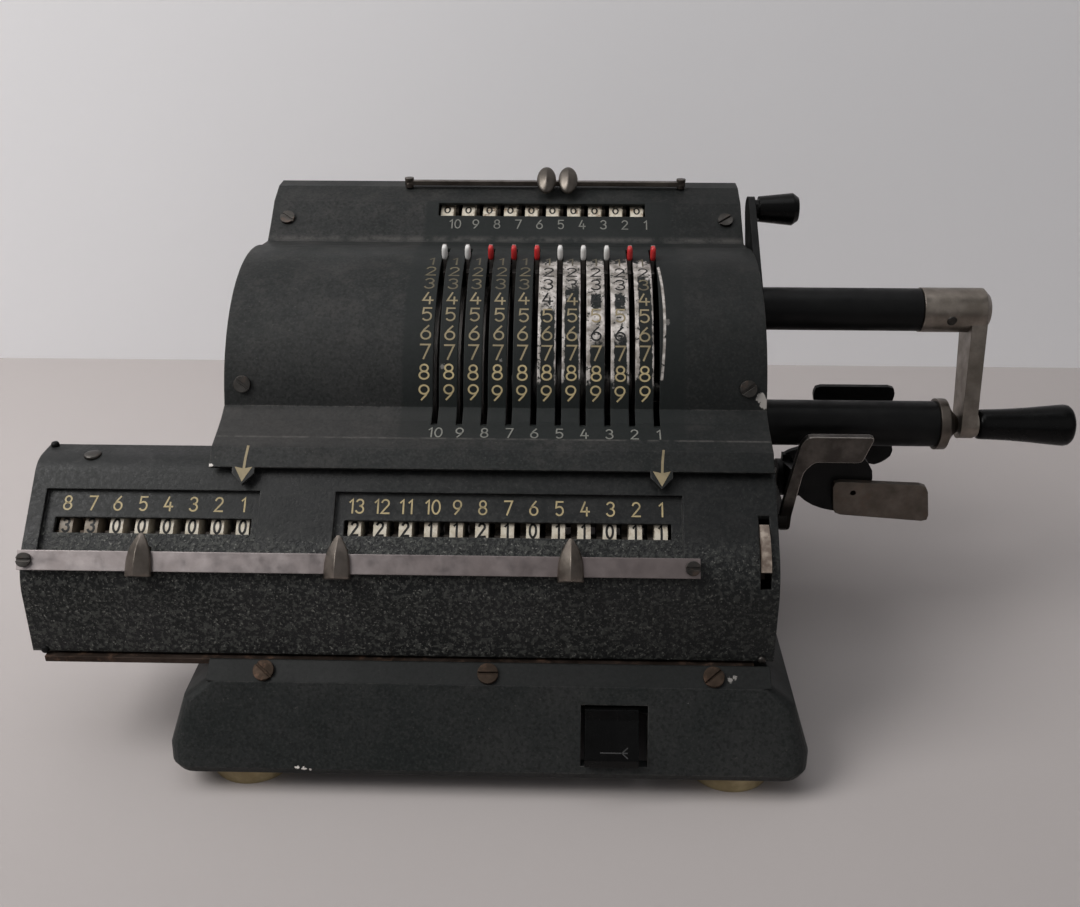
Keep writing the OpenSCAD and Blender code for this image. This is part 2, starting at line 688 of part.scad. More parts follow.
rack_z = [deck_z + fit, deck_z + 2.2];
rack_y = [deck_front_y + 0.9, deck_front_y + 18];
module carriage_rack() {
    color([0.36, 0.27, 0.22]) {
        difference() {
            box([car_left + 4, carriage_right - 6], rack_y, rack_z);
            for (x = [car_left + 8:digit_pitch / 2:carriage_right - 8])
                box([x, x + digit_pitch / 4], [rack_y[1] - 2.2, rack_y[1] + 1],
                    rack_z + [-1, 1]);
        }
        for (x = [car_left + 14, -60, 0, carriage_right - 16])
            translate([x, rack_y[0] + 10, rack_z[1]]) cylinder(d = 8, h = car_z - rack_z[1]);
    }
}
module number_wheel(x) {
    difference() {
        union() {
            rod(x - wheel_w / 2, x + wheel_w / 2, 2 * wheel_r, wheel_axis);
            translate([x - wheel_w / 2 - 2, wheel_axis[0], wheel_axis[1]])
                rotate([90, 0, 90]) linear_extrude(2 + eps) {
                    circle(5.6);
                    teeth(7, 10, 1.2, 1.5, 0.4, 0, 9);
                }
        }
        rod(x - wheel_w, x + wheel_w, axle_d + 2 * run_fit, wheel_axis);
    }
}
module result_wheels() {
    color(cream) for (k = [1:result_places]) number_wheel(result_x(k));
}
module counter_wheels() {
    color(cream) for (k = [1:counter_places]) number_wheel(counter_x(k));
}

// ---- decimal bar and pointers ----
bar_a = 34.3;
bar_t = 1.8;
bar_lift = 0.9;
bar_mid = polar(front_c, front_r + bar_lift, bar_a);
bar_x = [car_left + 0.3, result_x(1) + 11];
bar_screw_x = [bar_x[0] + 2.2, bar_x[1] - 2.2];
pointer_x = [-104.2, -44.7, 24.8];
pointer_w = 7.8;
module decimal_bar() {
    color(steel) on_slope(bar_mid, 90 - bar_a) difference() {
        union() {
            box(bar_x, [-bar_h / 2, bar_h / 2], [0, bar_t]);
            for (x = bar_screw_x) translate([x, 0, -bar_lift]) cylinder(d = 4.2, h = bar_lift);
        }
        for (x = bar_screw_x) translate([x, 0, -2]) cylinder(d = 2.6, h = 6);
    }
}
module bar_screws() {
    color(steel) for (x = bar_screw_x) translate([x, 0, 0]) on_slope(bar_mid, 90 - bar_a)
        translate([0, 0, bar_t]) slotted_screw(4.4, 1, 2.4, 6);
}
module decimal_pointer(x) {
    h = bar_h / 2;
    top = bar_t + fit;
    color(nickel) translate([x, 0, 0]) on_slope(bar_mid, 90 - bar_a) {
        box([-pointer_w / 2, pointer_w / 2], [-h - 1.6, h + 1.4], span(top, 0, 0.9));
        hull() {
            box([-2.8, 2.8], [-h - 1.4, h + 1.2], span(top, 0.5, 1.1));
            box([-0.6, 0.6], [-h - 1.1, h - 1.2], span(top, 3, 4.4));
        }
        hull() {
            box([-2.8, 2.8], [h + fit, h + 1.4], span(top, -1, 0.9));
            box([-0.6, 0.6], [h + 4.2, h + 5.6], span(top, -1.4, -0.2));
        }
        for (s = [-1, 1]) {
            y = s > 0 ? [h + fit, h + 1.4] : [-h - 1.6, -h - fit];
            lip_y = s > 0 ? [h - 0.8, h + 1.4] : [-h - 1.6, -h + 0.8];
            box([-pointer_w / 2, pointer_w / 2], y, [-0.5, top + 0.1]);
            box([-pointer_w / 2, pointer_w / 2], lip_y, [-0.5, -0.15]);
        }
    }
}
top_pointer_x = [14.8, 22.8];
module top_pointer(x) {
    slope = 40;
    mid = rail_yz + [-3.2, 2.2];
    color(nickel) translate([x, 0, 0]) {
        on_slope(mid, slope) hull() {
            scale([0.57, 1, 1]) cylinder(r = 6.2, h = 1.2, $fn = 32);
            box([-0.4, 0.4], [-4, 4], [2, 2.4]);
        }
        difference() {
            box([-2.6, 2.6], span(rail_yz[0], -2.6, 1.9), span(rail_yz[1], -0.65, 4));
            box([-3, 3], span(rail_yz[0], -1.2 - run_fit, 1.2 + run_fit),
                span(rail_yz[1], -run_fit, 1.6 + run_fit));
        }
    }
}

// ---- keys and levers ----
module back_transfer_lever() {
    color(cream) along_x(transfer_x[0], transfer_x[1]) difference() {
        union() {
            ring_sector(front_c, 10, front_r + 1.8, 32, 70);
            sector(front_c, 11, 20, 100);
            translate(front_c) circle(6);
        }
        translate(front_c) circle(d = 4 + 2 * run_fit);
    }
}
module shift_key() {
    x0 = key_x0;
    color(black) difference() {
        union() {
            along_x(x0, x0 + key_w)
                polygon([[front_y(key_z0) - 2.2, key_z0], [front_y(key_z0) - 2.6, key_z0 + 3],
                         [front_y(key_z1) - 1.6, key_z1 - 3], [front_y(key_z1) - 0.6, key_z1],
                         [-75, key_z1], [-75, key_z0]]);
            box([x0 + 3, x0 + key_w - 3], [-76, key_pivot[0] + 3], span(key_pivot[1], -4, 4));
        }
        rod(x0, x0 + key_w, 3 + 2 * run_fit, key_pivot);
    }
}
clear_x = cover_x + 11;
lever_plate_x = [clear_x, clear_x + 3];
// A flat plate facing the operator between y0 and y1, outlined in [X, Z] from the levers' hub
// and above the deck
module front_plate(y0, y1) {
    translate([clear_x, y1, deck_z]) rotate([90, 0, 0]) linear_extrude(y1 - y0) children();
}
clear_shaft_end = clear_x + 12.5;
module clear_lever_shaft() {
    color(steel) rod(plate_out_x, clear_shaft_end, clear_shaft_d, clear_pivot);
}
module counter_clear_lever() {
    color(nickel) {
        difference() {
            union() {
                rod(lever_plate_x[0] - 1.5, lever_plate_x[1] + 1, 13, clear_pivot);
                link(lever_plate_x[0], lever_plate_x[1], clear_pivot, 6, [-2.9, deck_z + 15.5], 3);
            }
            rod(lever_plate_x[0] - 3, lever_plate_x[1] + 3, clear_shaft_d + 2 * run_fit,
                clear_pivot);
        }
        front_plate(-4.2, -1.6)
            polygon(soften([[0, 12.6], [4.5, 12.6], [4.5, 18], [7, 35.6], [10.3, 39.4],
                            [26.4, 39.4], [29.7, 49], [7.5, 49], [5.2, 46.6], [1.4, 24]], 1.4));
    }
}
module result_clear_lever() {
    arm_x0 = clear_x + 7.5;
    color(black) difference() {
        union() {
            rod(arm_x0 - 2, arm_x0 + 4, 14, clear_pivot);
            link(arm_x0, arm_x0 + 3, clear_pivot, 6.5, [8.5, deck_z + 24], 4);
            along_x(arm_x0, arm_x0 + 3)
                polygon([clear_pivot - [4, 0], clear_pivot + [3.4, 0],
                         clear_pivot + [3.4, 9], clear_pivot + [0.8, 9]]);
            front_plate(4.9, 7.3)
                polygon(soften([[5.5, 27], [8, 21.5], [13.5, 17.5], [20.5, 15.4],
                                [31.5, 15.4], [33.5, 22], [33.5, 32], [28.5, 38],
                                [14.5, 38], [6.5, 34]], 3));
            front_plate(34.2, 36.4)
                polygon(soften([[7.5, 16], [14.5, 15], [24.5, 17.5], [34.5, 22], [42.5, 18.5],
                                [48.5, 22.5], [48.5, 27.5], [41.5, 31], [40.5, 40], [46, 45],
                                [46, 51], [16.5, 51], [16.5, 45], [21.5, 39], [19.5, 28],
                                [7.5, 23]], 2.4));
        }
        rod(arm_x0 - 3, clear_shaft_end + 0.5, clear_shaft_d + 2 * run_fit, clear_pivot);
    }
}
module result_clear_paddle() {
    color(steel) front_plate(2.6, 4.9) difference() {
        polygon(soften([[19.3, 28.4], [52.5, 27.2], [54.9, 12.8], [20.8, 15.4]], 2.6));
        translate([26.8, 24]) circle(d = 2);
    }
}

base();
feet();
foot_screws();
side_plate_left();
side_plate_right();
upper_cover();
cover_screws();
base_screws();
crank_tube();
stop_tube();
stop_cap();
dial_axle();
top_rail();
clear_lever_shaft();
carriage_guide();
drum_shaft();
pinwheels();
crank_shaft();
crank_arm();
crank_handle();
setting_clear_lever();
setting_clear_knob();
carriage_frame();
carriage_cover();
decimal_bar();
bar_screws();
carriage_rack();
result_wheels();
counter_wheels();
decimal_pointer(pointer_x[0]);  // decimal_pointer_1
decimal_pointer(pointer_x[1]);  // decimal_pointer_2
decimal_pointer(pointer_x[2]);  // decimal_pointer_3
top_pointer(top_pointer_x[0]);  // top_pointer_1
top_pointer(top_pointer_x[1]);  // top_pointer_2
back_transfer_lever();
shift_key();
counter_clear_lever();
result_clear_lever();
result_clear_paddle();
for (k = [1:setting_places]) {
    setting_lever(k);
    check_dial(k);
}
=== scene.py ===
import math
import random
import bmesh
import bpy
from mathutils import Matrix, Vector


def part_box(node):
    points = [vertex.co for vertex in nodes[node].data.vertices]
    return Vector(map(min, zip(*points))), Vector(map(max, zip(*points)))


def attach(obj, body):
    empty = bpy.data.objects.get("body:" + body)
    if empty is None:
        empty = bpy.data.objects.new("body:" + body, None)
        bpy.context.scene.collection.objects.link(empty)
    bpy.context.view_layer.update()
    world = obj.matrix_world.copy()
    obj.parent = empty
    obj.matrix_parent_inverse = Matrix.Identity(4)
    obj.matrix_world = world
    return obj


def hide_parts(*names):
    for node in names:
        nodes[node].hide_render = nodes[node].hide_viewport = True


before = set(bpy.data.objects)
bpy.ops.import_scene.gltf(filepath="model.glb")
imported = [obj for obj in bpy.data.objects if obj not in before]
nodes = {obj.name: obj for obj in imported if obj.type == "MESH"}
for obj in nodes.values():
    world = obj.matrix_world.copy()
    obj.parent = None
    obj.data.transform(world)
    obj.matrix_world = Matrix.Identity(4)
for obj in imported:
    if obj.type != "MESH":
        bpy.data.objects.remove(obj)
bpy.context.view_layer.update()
random.seed(7)
MM = 0.001

# ---------------------------------------------------------------- places shared with the solids
# All in mm and degrees. A pair is (Y, Z), and an angle is measured from the front over the top.
PITCH = 7.8
FIRST_SLOT_X, FIRST_RESULT_X, FIRST_COUNTER_X = 51.6, 52.2, -75.8
SETTING_PLACES, RESULT_PLACES, COUNTER_PLACES = 10, 13, 8
# How far to the left of its slot a check dial, and a column of the cover's figures, has its middle
DIAL_LEFT, DIGIT_LEFT = 3.3, 3.75
DRUM, COVER_R = (28.0, 86.7), 51.0
DIAL, DIAL_R, DIAL_STEP, DIAL_READ_A = (71.508, 129.456), 13.8, 28.146, 68.0
DIGIT_TOP, DIGIT_STEP = 88.0, 7.3
TIP_R, TIP_A = 53.0, 83.5
SLOPE_A, SLOPE_FOOT, RECESS_DEPTH = 46.8, (-58.918, 71.873), 1.5
WHEEL, WHEEL_R, WHEEL_READ_A, WHEEL_STEP = (-44.916, 67.188), 10.0, 48.3, 36
LIP_MIDDLE, LIP_EDGE = (-38.14, 95.336), (-43.04, 90.936)
WINDOW_LEDGE, WINDOW_LEDGE_UP = (58.64, 139.13), (9.1, 6.8)
SKIRT, SKIRT_UP = (-30.9, 97.50), (6, 1.9)
BAR_MID, BAR_A = (-62.705, 68.823), 34.3
RAIL, OVAL, OVAL_TILT = (75.16, 149.53), (71.96, 151.73), 40
HANDLE = (18.226, 79.1)
KEY_X, KEY_FACE, KEY_UP = 37.8, (-85.5, 17.6), (0.64, 0.77)


def slot_x(k):
    return FIRST_SLOT_X - (k - 1) * PITCH


def result_x(k):
    return FIRST_RESULT_X - (k - 1) * PITCH


def counter_x(k):
    return FIRST_COUNTER_X - (k - 1) * PITCH


def polar(c, r, a):
    return c[0] - r * math.cos(math.radians(a)), c[1] + r * math.sin(math.radians(a))


def middle_x(name):
    low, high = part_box(name)
    return (low[0] + high[0]) / 2 / MM


# ---------------------------------------------------------------- camera
cam = bpy.data.objects.new("camera", bpy.data.cameras.new("camera"))
bpy.context.scene.collection.objects.link(cam)
cam.data.sensor_width = 36
cam.data.lens = 37.13
cam.data.clip_start = 0.01
cam.location = (0.0225, -0.3432, 0.2497)
cam.rotation_euler = (math.radians(63), 0, math.radians(1.4))
bpy.context.scene.camera = cam
bpy.context.scene.view_settings.view_transform = "Standard"


# ---------------------------------------------------------------- materials
class Mat:
    """A node material, built up layer by layer. Places and lengths are in mm, a noise's scale is per m"""

    def __init__(self, name, rough=0.5, metal=0.0, specular=0.5):
        self.material = bpy.data.materials.new(name)
        self.material.use_nodes = True
        self.tree = self.material.node_tree
        self.shader = self.tree.nodes["Principled BSDF"]
        self.shader.inputs["Specular IOR Level"].default_value = specular
        self.pos = self.node("ShaderNodeTexCoord").outputs["Object"]
        self.color = None
        self.rough = rough
        self.metal = metal
        self.normal = None

    def node(self, kind, inputs=None, **props):
        n = self.tree.nodes.new(kind)
        for key, value in props.items():
            setattr(n, key, value)
        for key, value in (inputs or {}).items():
            self.put(n.inputs[key], value)
        return n

    def put(self, socket, value):
        if isinstance(value, bpy.types.NodeSocket):
            self.tree.links.new(value, socket)
        else:
            socket.default_value = value

    def calc(self, op, a, b=None):
        n = self.node("ShaderNodeMath", {0: a}, operation=op)
        if b is not None:
            self.put(n.inputs[1], b)
        return n.outputs[0]

    def plus(self, a, b):
        return self.calc("ADD", a, b)

    def minus(self, a, b):
        return self.calc("SUBTRACT", a, b)

    def times(self, first, *others):
        for other in others:
            first = self.calc("MULTIPLY", first, other)
        return first

    def most(self, first, *others):
        for other in others:
            first = self.calc("MAXIMUM", first, other)
        return first

    def noise(self, scale, detail=3.0, rough=0.55, vec=None):
        return self.node("ShaderNodeTexNoise", {"Vector": vec or self.pos, "Scale": scale, "Detail": detail,
                                                "Roughness": rough}).outputs["Fac"]

    def place(self, axis):
        """X, Y or Z, as axis is 0, 1 or 2"""
        return self.times(self.node("ShaderNodeSeparateXYZ", {"Vector": self.pos}).outputs[axis], 1 / MM)

    def facing_up(self):
        normal = self.node("ShaderNodeNewGeometry").outputs["Normal"]
        return self.node("ShaderNodeSeparateXYZ", {"Vector": normal}).outputs[2]

    def step(self, value, low, high):
        """0 below low, 1 above high, smooth between"""
        ends = {"Value": value, "From Min": low, "From Max": high}
        return self.node("ShaderNodeMapRange", ends, interpolation_type="SMOOTHSTEP").outputs["Result"]

    def band(self, value, low, high, soft):
        """1 between low and high"""
        begins = self.step(value, low - soft, low + soft)
        return self.times(begins, self.step(value, high + soft, high - soft))

    def spread(self, noise, to_low, to_high, reach=0.2):
        """A noise's middle part, within reach of 0.5, spread from to_low to to_high"""
        ends = {"Value": noise, "From Min": 0.5 - reach, "From Max": 0.5 + reach, "To Min": to_low,
                "To Max": to_high}
        return self.node("ShaderNodeMapRange", ends).outputs["Result"]

    def mix(self, share, a, b):
        n = self.node("ShaderNodeMix", {"Factor": share}, data_type="RGBA")
        for socket, tone in zip((n.inputs[6], n.inputs[7]), (a, b)):
            self.put(socket, tone if isinstance(tone, bpy.types.NodeSocket) else (*tone, 1.0))
        return n.outputs[2]

    def lay(self, tone, *masks):
        """Lays a tone over the colour so far, by the product of the masks"""
        self.color = self.mix(self.times(*masks), self.color, tone)

    def near(self, spots):
        """1 close to any of the spots (X, Y, Z, radius), with a ragged edge"""
        rag = self.times(self.minus(self.noise(1700, 3), 0.5), 2 * MM)
        masks = []
        for *at, radius in spots:
            d = self.node("ShaderNodeVectorMath", {0: self.pos, 1: Vector(at) * MM}, operation="DISTANCE")
            masks.append(self.step(self.plus(d.outputs["Value"], rag), radius * MM, 0.8 * radius * MM))
        return self.most(*masks)

    def soften(self, radius):
        """Rounds the edges in the light, and returns a mask of them: 1 on an edge, 0 on a flat"""
        self.normal = self.node("ShaderNodeBevel", {"Radius": radius * MM}, samples=4).outputs[0]
        flat = self.node("ShaderNodeNewGeometry").outputs["Normal"]
        dot = self.node("ShaderNodeVectorMath", {0: self.normal, 1: flat}, operation="DOT_PRODUCT")
        return self.step(dot.outputs["Value"], 0.985, 0.90)

    def bump(self, height, strength, depth):
        inputs = {"Height": height, "Strength": strength, "Distance": depth * MM}
        if self.normal is not None:
            inputs["Normal"] = self.normal
        self.normal = self.node("ShaderNodeBump", inputs).outputs[0]

    def finish(self):
        self.put(self.shader.inputs["Base Color"], self.color)
        self.put(self.shader.inputs["Roughness"], self.rough)
        self.put(self.shader.inputs["Metallic"], self.metal)
        if self.normal is not None:
            self.put(self.shader.inputs["Normal"], self.normal)
        return self.material


# Tones that lie over a surface's own, as linear colour
DUST = (0.058, 0.053, 0.050)
BARE_METAL = (0.60, 0.56, 0.53)
STAINED_METAL = (0.22, 0.20, 0.18)
RUST = (0.11, 0.055, 0.03)


def satin(name, chips, tint=1.0, grain=1.0, wear=0.5, dust=0.36):
    """Aged satin paint: cloudy, finely grained, rubbed at its edges and dusty on what faces up"""
    m = Mat(name, specular=0.16)
    edge = m.soften(0.55)
    dark = [tint * v for v in (0.0105, 0.0125, 0.0122)]
    light = [tint * v for v in (0.0200, 0.0208, 0.0206)]
    m.color = m.mix(m.step(m.noise(28, 5, 0.6), 0.35, 0.68), dark, light)
    m.lay(DUST, m.step(m.facing_up(), 0.2, 1.0), m.step(m.noise(160, 6, 0.7), 0.42, 0.72), dust)
    m.lay((0.040, 0.041, 0.039), m.step(m.noise(1150, 3, 0.6), 0.45, 0.68), 0.42)
    m.lay((0.0065, 0.0075, 0.0070), m.step(m.noise(800, 3, 0.6), 0.52, 0.36), 0.5)
    m.lay((0.10, 0.095, 0.085), m.step(m.noise(900, 2, 0.5), 0.70, 0.78), 0.35)
    m.lay((0.16, 0.15, 0.14), edge, m.step(m.noise(350, 5, 0.7), 0.38, 0.62), wear)
    m.lay((0.66, 0.62, 0.58), m.near(chips))
    m.rough = m.spread(m.noise(60, 4), 0.42, 0.60)
    m.bump(m.noise(1500, 3, 0.6), 0.35 * grain, 0.06)
    m.bump(m.noise(420, 3), 0.25 * grain, 0.12)
    return m


def metal(name, light, dark, rough=0.38, streak=(1, 1, 1), rust=0.0, painted_dimming=None):
    """Cloudy worn metal. painted_dimming: the X between which it is painted duller, as painted shade where
    its reflection fades
    """
    m = Mat(name, metal=1.0)
    m.soften(0.35)
    m.color = m.mix(m.step(m.noise(90, 5, 0.65), 0.3, 0.75), dark, light)
    if painted_dimming:
        # Painted shade: duller along X, standing in for a reflection that fades along the part
        m.lay((0.17, 0.14, 0.135), m.step(m.place(0), *painted_dimming), 0.75)
    if rust:
        patch = m.times(m.step(m.noise(210, 6, 0.7), 0.50, 0.66), rust)
        m.lay(RUST, patch)
        m.metal = m.minus(1.0, m.times(patch, 0.8))
    m.rough = m.spread(m.noise(240, 4), rough - 0.08, rough + 0.14)
    grain = m.node("ShaderNodeMapping", {"Vector": m.pos, "Scale": streak}).outputs[0]
    m.bump(m.noise(700, 3, 0.6, vec=grain), 0.12, 0.04)
    m.bump(m.noise(300, 5, 0.7), 0.2, 0.05)
    return m.finish()


def plastic(name, base, light, rough, gloss=0.5, soft=0.0):
    m = Mat(name, specular=gloss)
    if soft:
        m.soften(soft)
    m.color = m.mix(m.step(m.noise(120, 5, 0.6), 0.4, 0.8), base, light)
    m.rough = m.spread(m.noise(200, 4), rough * 0.8, rough * 1.35)
    m.bump(m.noise(500, 3), 0.15, 0.05)
    return m.finish()


def figure_paint(name, base, light):
    return plastic(name, base, light, 0.5, gloss=0.3)


# The paint's chips, as (X, Y, Z, radius)
COVER_CHIPS = [(-16.6, -15.3, 113.3, 0.9), (2.0, -14.0, 115.2, 0.5), (21.9, -17.1, 110.5, 0.6),
               (26.6, -9.1, 121.7, 1.0), (23.3, 2.3, 130.7, 0.8), (34.1, -8.3, 122.5, 0.7),
               (-86.2, -43.0, 91.2, 0.9), (84.6, -19.3, 105.2, 1.7), (86.0, -20.0, 103.6, 1.9),
               (54.9, -5.2, 125.2, 1.1)]
BASE_CHIPS = [(-57.9, -85.8, 10.2, 0.6), (-55.8, -86.0, 9.7, 0.7), (-53.9, -86.2, 9.3, 0.5),
              (73.4, -72.8, 35.7, 0.9), (75.0, -72.2, 36.2, 0.7), (60.5, -77.5, 30.0, 0.35)]

# The worn strips between the slots, from the right: above which angle the strip is bare all across, between
# which angles its middle kept its paint, and between which shares of its width the paint is kept below that
STRIPS = [(70, (26, 68), (0.19, 0.72)), (43, (54, 61.5), (0.22, 0.74)), (41, (54.5, 62), (0.12, 0.72)),
          (65, (26, 63), (0.18, 0.77)), (55, (26, 54), (0.18, 0.76))]
WORN_FROM, WORN_TO = 27.0, 80.5
# A strip's middle, as shares of its width
STRIP_MIDDLE = (0.27, 0.70)
# The scratch beside the first slot: how far to its right it lies, how far it bulges and half its width,
# and the angles between which it runs
SCRATCH_RIGHT, SCRATCH_BULGE, SCRATCH_HALF = 1.3, 1.3, 0.4
SCRATCH_FROM, SCRATCH_TO = 28.0, 76.0
# The darker field about the cover's figures, the skirt and the two folds, as (X, X) or (Y, Y)
FIELD_X, FIELD_Y = (-29.5, 60.5), (-33.5, 67.5)
SKIRT_Y, LOWER_FOLD_Y, UPPER_FOLD_Y = (-37.5, -21.5), (-33.7, -33.1), (52.0, 53.5)


def worn_paint(m, x, angle):
    """1 where the paint beside the slots is worn to bare metal"""
    column = m.calc("DIVIDE", m.minus(slot_x(1), x), PITCH)
    ragged = m.times(m.minus(m.noise(430, 4, 0.65), 0.5), 2.0)
    high = m.plus(angle, m.times(ragged, 8.0))
    side = m.plus(m.calc("FRACT", m.plus(column, 20.0)), m.times(ragged, 0.10))
    strips = []
    for k, (bare_above, core, kept) in enumerate(STRIPS):
        middle = m.times(m.band(high, *core, 1.0), m.band(side, *STRIP_MIDDLE, 0.03))
        across = m.times(m.step(high, bare_above - 2, bare_above + 2), m.minus(1.0, middle))
        sides = m.minus(1.0, m.band(side, *kept, 0.02))
        strips.append(m.times(m.band(column, k, k + 1, 0.002), m.most(across, sides)))
    blots = m.step(m.noise(560, 5, 0.7), 0.38, 0.43)
    worn = m.times(m.most(*strips), m.band(high, WORN_FROM, WORN_TO, 1.5), blots)
    # The scratch to the right of the first slot bulges away from it
    bulge = m.times(m.calc("SINE", m.times(m.minus(angle, 24.0), math.pi / 55)), SCRATCH_BULGE)
    off = m.minus(m.minus(x, slot_x(1) + SCRATCH_RIGHT), bulge)
    along = m.band(high, SCRATCH_FROM, SCRATCH_TO, 1.5)
    scratch = m.times(m.band(off, -SCRATCH_HALF, SCRATCH_HALF, 0.15), along)
    return m.most(worn, m.times(scratch, m.step(m.noise(500, 3), 0.3, 0.4)))


def cover_paint():
    m = satin("cover_paint", COVER_CHIPS, wear=0.6)
    x, y, z = m.place(0), m.place(1), m.place(2)
    angle = m.times(m.calc("ARCTAN2", m.minus(z, DRUM[1]), m.minus(DRUM[0], y)), 180 / math.pi)
    # The field of the figures is darker
    m.lay((0.0100, 0.0125, 0.0120), m.band(x, *FIELD_X, 0.8), m.band(y, *FIELD_Y, 0.6), 0.8)
    # The skirt is lighter towards the left, and the side away from the light is painted darker, as painted
    # shade
    m.lay((0.058, 0.054, 0.052), m.band(y, *SKIRT_Y, 1.5), m.step(x, 30, -90), 0.38)
    m.lay((0.0062, 0.0070, 0.0068), m.step(x, 20, 85), 0.5)
    # A lighter line where the skirt turns, partly rubbed paint and partly a painted highlight on the crease,
    # and dust in the fold above the drum
    folds = m.most(m.band(y, *LOWER_FOLD_Y, 0.3), m.band(y, *UPPER_FOLD_Y, 1.2))
    m.lay((0.12, 0.112, 0.105), folds, m.step(m.noise(220, 5, 0.7), 0.35, 0.6), 0.45)
    worn = worn_paint(m, x, angle)
    m.lay(m.mix(m.step(m.noise(330, 4), 0.35, 0.7), STAINED_METAL, BARE_METAL), worn)
    m.metal = m.times(worn, 0.4)
    return m.finish()


def base_paint():
    m = satin("base_paint", BASE_CHIPS, 1.25, grain=1.4, dust=0.1)
    # Painted shade: its ledge, which faces up below the carriage, is painted darker than its sloped front
    m.lay((0.0062, 0.0068, 0.0066), m.step(m.facing_up(), 0.5, 0.9), 0.75)
    return m.finish()


def carriage_paint():
    """Satin paint above, and crumbled wrinkle paint on the lower face"""
    m = Mat("carriage_paint", specular=0.2)
    edge = m.soften(0.5)
    # 1 on the lower face, and 0 above the slanted line where the two paints meet
    low = m.step(m.minus(m.place(2), m.times(m.place(1), 0.55)), 106, 103.5)
    clouds = m.step(m.noise(30, 5, 0.6), 0.35, 0.7)
    m.color = m.mix(clouds, (0.0080, 0.0092, 0.0092), (0.0160, 0.0162, 0.0168))
    dusty = m.step(m.noise(140, 6, 0.7), 0.40, 0.75)
    m.lay((0.058, 0.056, 0.056), m.step(m.facing_up(), 0.4, 1.0), dusty, 0.3)
    crumbs = m.noise(760, 4, 0.62)
    m.lay((0.060, 0.062, 0.057), m.step(crumbs, 0.48, 0.60), m.plus(m.times(low, 0.65), 0.15))
    # Painted glints: bright specks, thicker on the lower face
    m.lay((0.17, 0.17, 0.155), m.step(m.noise(1250, 3, 0.6), 0.60, 0.68), m.plus(m.times(low, 0.75), 0.1))
    m.lay((0.13, 0.125, 0.12), edge, m.step(m.noise(350, 5, 0.7), 0.42, 0.62), 0.45)
    # Painted shade: darker towards the right, away from the light
    m.lay((0.0060, 0.0066, 0.0066), m.step(m.place(0), -30, 85), 0.45)
    m.rough = m.spread(crumbs, 0.34, 0.58, reach=0.15)
    m.bump(m.times(crumbs, m.plus(m.times(low, 0.9), 0.22)), 0.9, 0.45)
    m.bump(m.noise(2600, 2), 0.2, 0.05)
    return m.finish()


def lever_nickel():
    """The counter's clearing lever: dark on its faces, with a painted highlight on its rims and painted
    shadow making its lower end black
    """
    m = Mat("lever_nickel", metal=1.0)
    rim = m.soften(0.5)
    m.color = m.mix(m.step(m.noise(140, 5, 0.6), 0.35, 0.7), (0.062, 0.055, 0.050), (0.125, 0.112, 0.10))
    # Painted highlight on the rims
    m.lay((0.62, 0.57, 0.52), rim)
    # Painted shadow: black at the lower end
    m.lay((0.012, 0.011, 0.010), m.step(m.place(2), 62, 56))
    m.rough = m.spread(m.noise(240, 4), 0.28, 0.5)
    m.bump(m.noise(300, 5, 0.7), 0.2, 0.05)
    return m.finish()


def wheel_enamel(name, stain, first_x, half, brown_to=None):
    """Cream on the figured bands, whose middles are first_x and one pitch apart, and dark brown between
    them. brown_to: the X between which the cream is browned"""
    m = Mat(name, rough=0.45, specular=0.35)
    m.color = m.mix(m.step(m.noise(420, 5, 0.6), 0.35, 0.75), (0.62, 0.57, 0.48), (0.47, 0.41, 0.31))
    m.lay((0.17, 0.095, 0.045), m.step(m.noise(260, 5, 0.7), 0.50, 0.66), stain)
    turns = m.plus(m.calc("DIVIDE", m.minus(m.place(0), first_x), PITCH), 40.5)
    off_middle = m.calc("ABSOLUTE", m.minus(m.calc("FRACT", turns), 0.5))
    m.lay((0.030, 0.024, 0.019), m.step(off_middle, half / PITCH, (half + 0.12) / PITCH))
    if brown_to:
        m.lay((0.10, 0.068, 0.045), m.step(m.place(0), *brown_to), 0.75)
    m.bump(m.noise(800, 3), 0.15, 0.04)
    return m.finish()


def slider_enamel():
    m = Mat("cream_paint", rough=0.45)
    m.color = m.mix(m.step(m.noise(300, 4), 0.3, 0.6), (0.34, 0.285, 0.235), (0.12, 0.088, 0.068))
    return m.finish()


black_enamel = plastic("black_enamel", (0.0025, 0.0026, 0.0027), (0.0055, 0.0054, 0.0053), 0.40, 0.16, 0.4)
black_gloss = plastic("black_gloss", (0.0016, 0.0016, 0.0016), (0.0034, 0.0034, 0.0034), 0.24, 0.13, 0.5)
dark_nickel = metal("dark_nickel", (0.17, 0.147, 0.127), (0.085, 0.072, 0.062), 0.34)
pointer_nickel = metal("pointer_nickel", (0.28, 0.245, 0.215), (0.15, 0.13, 0.11), 0.34)
oval_nickel = metal("oval_nickel", (0.155, 0.137, 0.121), (0.085, 0.075, 0.065), 0.36)
screw = metal("screw_steel", (0.085, 0.080, 0.075), (0.04, 0.037, 0.034), 0.42, rust=0.3)
plain_steel = metal("plain_steel", (0.36, 0.34, 0.32), (0.22, 0.20, 0.19), 0.42)
stained_enamel = wheel_enamel("stained_enamel", 0.85, slot_x(1) - DIAL_LEFT, 2.75)
gold = figure_paint("gold_figures", (0.42, 0.34, 0.185), (0.27, 0.22, 0.125))
gold_mid = figure_paint("middle_figures", (0.27, 0.22, 0.13), (0.16, 0.132, 0.08))
gold_dim = figure_paint("dim_figures", (0.085, 0.073, 0.048), (0.17, 0.142, 0.085))
pale = figure_paint("pale_figures", (0.19, 0.19, 0.17), (0.12, 0.12, 0.11))
ink_and_relief_shade = figure_paint("black_figures", (0.008, 0.008, 0.008), (0.016, 0.015, 0.014))
